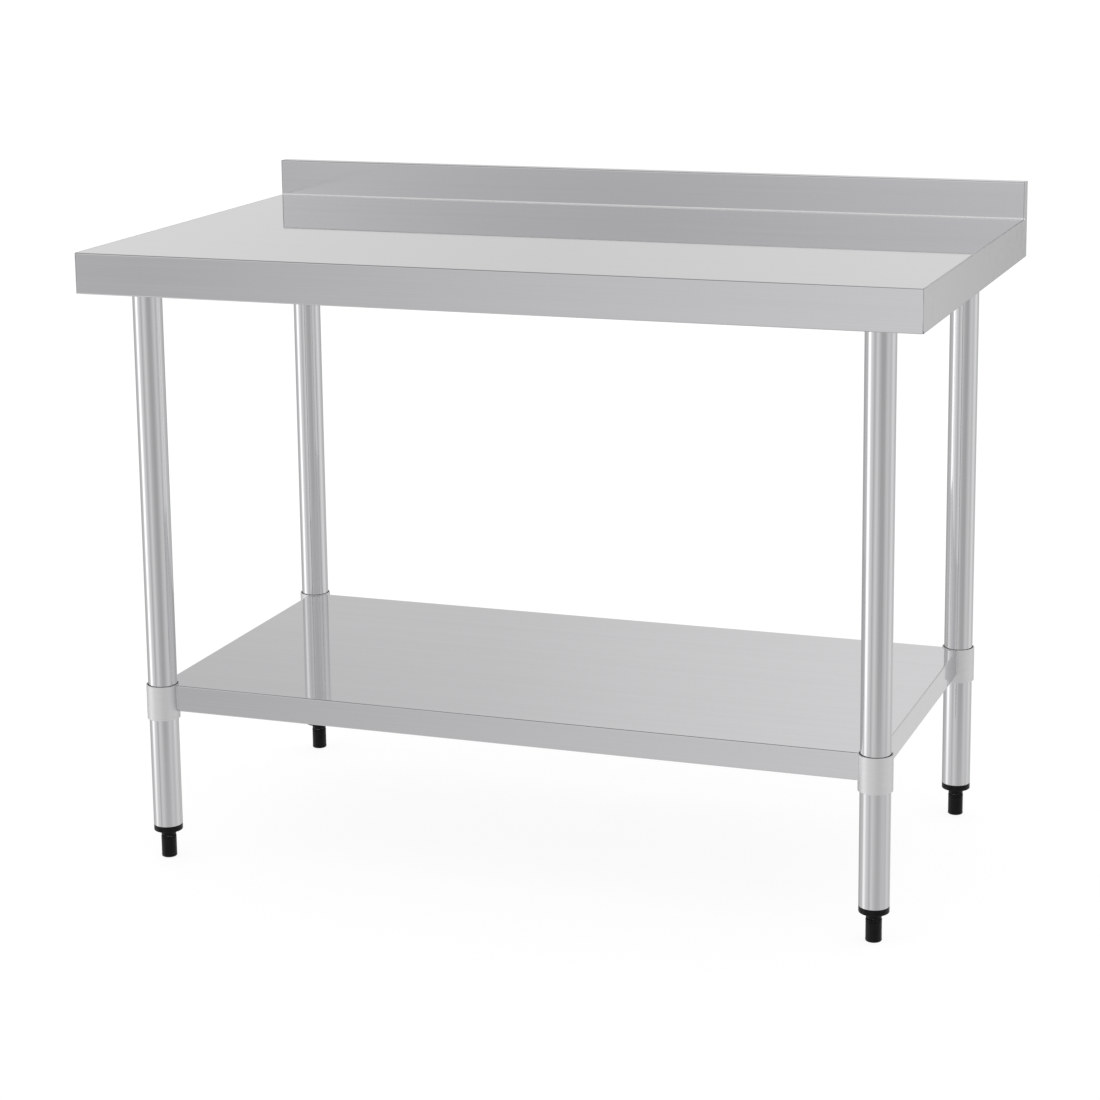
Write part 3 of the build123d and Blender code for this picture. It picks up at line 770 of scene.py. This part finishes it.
boot_angle = np.arange(BOOT_AROUND) * 2 * math.pi / BOOT_AROUND
flute = FLUTE_DEPTH * (0.5 - 0.5 * np.cos(FLUTES * boot_angle))
plug_r = leg_r - WALL
for corner, (x, y) in leg_axes.items():
    place = (x, y, 0.0)
    insert_low, insert_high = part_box(f"foot_insert_{corner}")
    stud_low, stud_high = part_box(f"foot_stud_{corner}")
    boot_low, boot_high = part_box(f"foot_boot_{corner}")
    tube_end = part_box(f"leg_{corner}")[0].z
    flange_low = tube_end - PLUG_FLANGE_H

    insert = [(STUD_BORE_R, insert_low.z + BORE_LEAD_IN), (STUD_BORE_R + BORE_LEAD_IN, insert_low.z)]
    insert += arc_profile(BOSS_R - BOSS_ROUND, insert_low.z + BOSS_ROUND, BOSS_ROUND, -90, 0)
    insert += [(BOSS_R, flange_low - BOSS_ROOT)]
    insert += arc_profile(BOSS_R + BOSS_ROOT, flange_low - BOSS_ROOT, BOSS_ROOT, 180, 90)
    insert += arc_profile(leg_r - PLUG_FLANGE_ROUND, flange_low + PLUG_FLANGE_ROUND, PLUG_FLANGE_ROUND,
                          -90, 0)
    insert += arc_profile(leg_r - PLUG_RIM, tube_end - PLUG_RIM, PLUG_RIM, 0, 90)
    insert += [(plug_r - PLUG_IN, tube_end + 0.0001)]
    for z in np.arange(tube_end + 0.004, insert_high.z - 0.004, BARB_PITCH):
        insert += [(plug_r - PLUG_IN, z), (plug_r - BARB_IN, z + 0.0012), (plug_r - BARB_IN, z + 0.0018)]
    insert += [(plug_r - 0.0025, insert_high.z), (STUD_BORE_R + 0.0006, insert_high.z),
               (STUD_BORE_R, insert_high.z - 0.0006)]
    piece(f"foot_plug_{corner}", [turned(insert, place, around=96, closed=True)], black_plastic, "frame",
          [f"foot_insert_{corner}"])

    shoulder_low, shoulder_high = boot_high.z + SHOULDER_SEAT, insert_low.z - SHOULDER_CLEAR
    stud = [(STUD_R * 0.8, stud_low.z), (STUD_R, stud_low.z + 0.001), (STUD_R, shoulder_low)]
    stud += [(SHOULDER_R - SHOULDER_EDGE, shoulder_low), (SHOULDER_R, shoulder_low + SHOULDER_EDGE),
             (SHOULDER_R, shoulder_high - SHOULDER_EDGE), (SHOULDER_R - SHOULDER_EDGE, shoulder_high),
             (STUD_R - STUD_THREAD, shoulder_high)]
    stud += thread_rings(STUD_R, insert_low.z, stud_high.z - 0.0012, STUD_PITCH, STUD_THREAD, 10, 64)
    stud += [(STUD_R * 0.72, stud_high.z)]
    piece(f"foot_screw_{corner}", [turned(stud, place, around=64)], zinc, f"stud_{corner}",
          [f"foot_stud_{corner}"], sharp=30.0)

    boot_r = (boot_high.x - boot_low.x) / 2
    fluted_r = boot_r - FLUTE_LAND
    groove_z = boot_high.z - BOOT_PLAIN
    boot = [(boot_r * 0.3, SOLE_HOLLOW), (boot_r * 0.62, SOLE_HOLLOW), (boot_r * 0.68, 0.0)]
    boot += arc_profile(boot_r - BOOT_ROUND, BOOT_ROUND, BOOT_ROUND, -90, 0)
    boot += [(boot_r, BOOT_PLAIN)]
    for z in np.linspace(BOOT_PLAIN + 0.001, groove_z - 0.0016, 9):
        fade = min(1.0, (z - BOOT_PLAIN) / 0.002, (groove_z - 0.0006 - z) / 0.001)
        boot.append((fluted_r - flute * fade, z))
    boot += [(fluted_r, groove_z - 0.0004), (boot_r - GROOVE_DEPTH, groove_z - 0.0002),
             (boot_r - GROOVE_DEPTH, groove_z + 0.0002), (boot_r - 0.0001, groove_z + 0.0004)]
    boot += arc_profile(boot_r - 0.0001 - BOOT_RIM, boot_high.z - BOOT_RIM, BOOT_RIM, 0, 90)
    boot += [(STUD_BORE_R + BORE_LEAD_IN, boot_high.z), (STUD_BORE_R, boot_high.z - BORE_LEAD_IN)]
    boot += [(STUD_BORE_R, stud_low.z - 0.0001), (boot_r * 0.2, stud_low.z - 0.0001)]
    piece(f"foot_cap_{corner}", [turned(boot, place, around=BOOT_AROUND)], black_plastic,
          f"boot_{corner}", [f"foot_boot_{corner}"])

# ---- floor and studio ------------------------------------------------------------------------
# A wide pale floor that glows of itself, so that only a trace of shadow lies on it. It lies half a
# millimetre under the feet.
FLOOR_HALF = 30.0
FLOOR_DROP = 0.0005
FLOOR_GREY = 0.14
FLOOR_GLOW = 0.88
STUDIO_WHITE = 1.1

floor_mesh = bpy.data.meshes.new("floor")
floor_corners = [(x * FLOOR_HALF, y * FLOOR_HALF, 0.0) for x, y in ((-1, -1), (1, -1), (1, 1), (-1, 1))]
floor_mesh.from_pydata(floor_corners, [], [(0, 1, 2, 3)])
floor = bpy.data.objects.new("floor", floor_mesh)
bpy.context.scene.collection.objects.link(floor)
floor.location.z = -FLOOR_DROP
floor_paint, tree, shader, where = blank_material("floor_paint")
shader.inputs["Base Color"].default_value = (FLOOR_GREY, FLOOR_GREY, FLOOR_GREY, 1.0)
shader.inputs["Roughness"].default_value = 1.0
shader.inputs["Specular IOR Level"].default_value = 0.0
shader.inputs["Emission Color"].default_value = (1.0, 1.0, 1.0, 1.0)
shader.inputs["Emission Strength"].default_value = FLOOR_GLOW
floor_mesh.materials.append(floor_paint)
floor.visible_glossy = False

# The studio round the table: white to the eye, and for reflections soft grey panels in rings,
# one ring above another.
world = bpy.data.worlds.new("studio")
bpy.context.scene.world = world
world.use_nodes = True
tree = world.node_tree
tree.nodes.clear()
out = tree.nodes.new("ShaderNodeOutputWorld")
where = tree.nodes.new("ShaderNodeTexCoord").outputs["Generated"]
split = tree.nodes.new("ShaderNodeSeparateXYZ")
tree.links.new(where, split.inputs[0])
backward = reckon(tree, "MULTIPLY", split.outputs["Y"], -1.0)
bearing = reckon(tree, "ARCTAN2", split.outputs["X"], backward)
turn_share = spread(tree, bearing, 0.0, 1.0, -math.pi, math.pi)


def panels(stops):
    """Panel brightness by bearing in degrees: 0 is in front of the table and 90 to its right."""
    ramp = tree.nodes.new("ShaderNodeValToRGB")
    elements = ramp.color_ramp.elements
    for i, (degrees, value) in enumerate(stops):
        at = (degrees + 180.0) / 360.0
        element = elements[i] if i < 2 else elements.new(at)
        element.position = at
        element.color = (value, value, value, 1.0)
    tree.links.new(turn_share, ramp.inputs["Fac"])
    return ramp.outputs["Color"]


def raised(lower, upper, start, end):
    """The lower ring up to the height start of the unit view direction, the upper one from end."""
    mix = tree.nodes.new("ShaderNodeMix")
    mix.data_type = "RGBA"
    tree.links.new(spread(tree, split.outputs["Z"], 0.0, 1.0, start, end), mix.inputs[0])
    tree.links.new(lower, mix.inputs[6])
    tree.links.new(upper, mix.inputs[7])
    return mix.outputs[2]


# Panels that the legs and aprons mirror. Low down and high up they are softer, but for the part that
# the aprons mirror, and high up they are brighter.
leg_stops = [(-110, 0.66), (-95, 0.74), (-85, 0.95), (-77, 1.7), (-66, 1.8), (-56, 1.15), (-46, 0.92),
             (-33, 0.82), (-29, 0.62), (-20, 0.77), (-11, 0.90), (-4, 0.92), (2, 0.84), (10, 0.72),
             (18, 0.62), (26, 0.56), (42, 0.55), (50, 0.60), (60, 0.74), (75, 0.84), (92, 0.74),
             (104, 0.84), (112, 1.02), (128, 0.97), (142, 0.76)]
soft_stops = [(degrees, value if -34 < degrees < -10 else 0.6 * value + 0.3)
              for degrees, value in leg_stops]
bright_stops = [(degrees, 1.25 * value) for degrees, value in soft_stops]
rear_left = [(-180, 0.50), (-150, 0.42)]
rear_right = [(158, 0.70), (166, 0.82), (172, 0.78), (180, 0.5)]
foot_ring = panels(rear_left + soft_stops + rear_right)
floor_ring = panels(rear_left + leg_stops + rear_right)
low_ring = panels(rear_left + leg_stops + [(158, 0.64), (167.4, 0.76), (170, 0.48), (180, 0.5)])
high_ring = panels([(-180, 0.60), (-174, 0.84), (-168, 0.82), (-160, 0.75), (-150, 0.84), (-120, 0.80),
                    (-40, 0.92), (-27, 0.98), (-22, 0.79), (-18, 0.74), (-14, 0.85), (-9, 0.95),
                    (10, 0.85), (120, 0.85), (162, 0.70), (168, 0.25), (174, 0.25), (180, 0.60)])
steep_ring = panels([(-180, 0.95), (-168, 0.92), (-162, 0.82), (-159, 0.75), (-148, 0.62)] + bright_stops
                    + [(158, 0.8), (180, 0.95)])
over_ring = panels([(-180, 0.75), (-165, 0.70), (-150, 0.42), (-28, 0.38), (-10, 0.70), (90, 0.7),
                    (180, 0.75)])
zenith_ring = panels([(-180, 0.78), (180, 0.78)])
studio = raised(foot_ring, floor_ring, -0.32, -0.29)
studio = raised(studio, low_ring, -0.28, -0.19)
studio = raised(studio, high_ring, -0.04, 0.04)
studio = raised(studio, steep_ring, 0.18, 0.30)
studio = raised(studio, over_ring, 0.50, 0.70)
studio = raised(studio, zenith_ring, 0.96, 0.99)
mirrored = tree.nodes.new("ShaderNodeBackground")
tree.links.new(studio, mirrored.inputs["Color"])
white = tree.nodes.new("ShaderNodeBackground")
white.inputs["Color"].default_value = (1.0, 1.0, 1.0, 1.0)
white.inputs["Strength"].default_value = STUDIO_WHITE
path = tree.nodes.new("ShaderNodeLightPath")
choose = tree.nodes.new("ShaderNodeMixShader")
tree.links.new(path.outputs["Is Glossy Ray"], choose.inputs[0])
tree.links.new(white.outputs[0], choose.inputs[1])
tree.links.new(mirrored.outputs[0], choose.inputs[2])
tree.links.new(choose.outputs[0], out.inputs["Surface"])
bpy.context.scene.view_settings.view_transform = "Standard"

# ---- camera ----------------------------------------------------------------------------------
# It stands four metres off, 20 degrees round from the front to the right and half a metre above the
# upstand, and looks a little down. The lens's shift sets the table in the frame.
CAMERA_AT = (1.347, -3.799, 1.455)
CAMERA_TURN = (78.35, 0.65, 19.74)
SENSOR = 36.0
LENS = 92.7
SHIFT_Y = -0.115

camera_data = bpy.data.cameras.new("camera")
camera = bpy.data.objects.new("camera", camera_data)
bpy.context.scene.collection.objects.link(camera)
camera.location = CAMERA_AT
camera.rotation_euler = [math.radians(degrees) for degrees in CAMERA_TURN]
camera_data.sensor_width = SENSOR
camera_data.lens = LENS
camera_data.shift_y = SHIFT_Y
bpy.context.scene.camera = camera
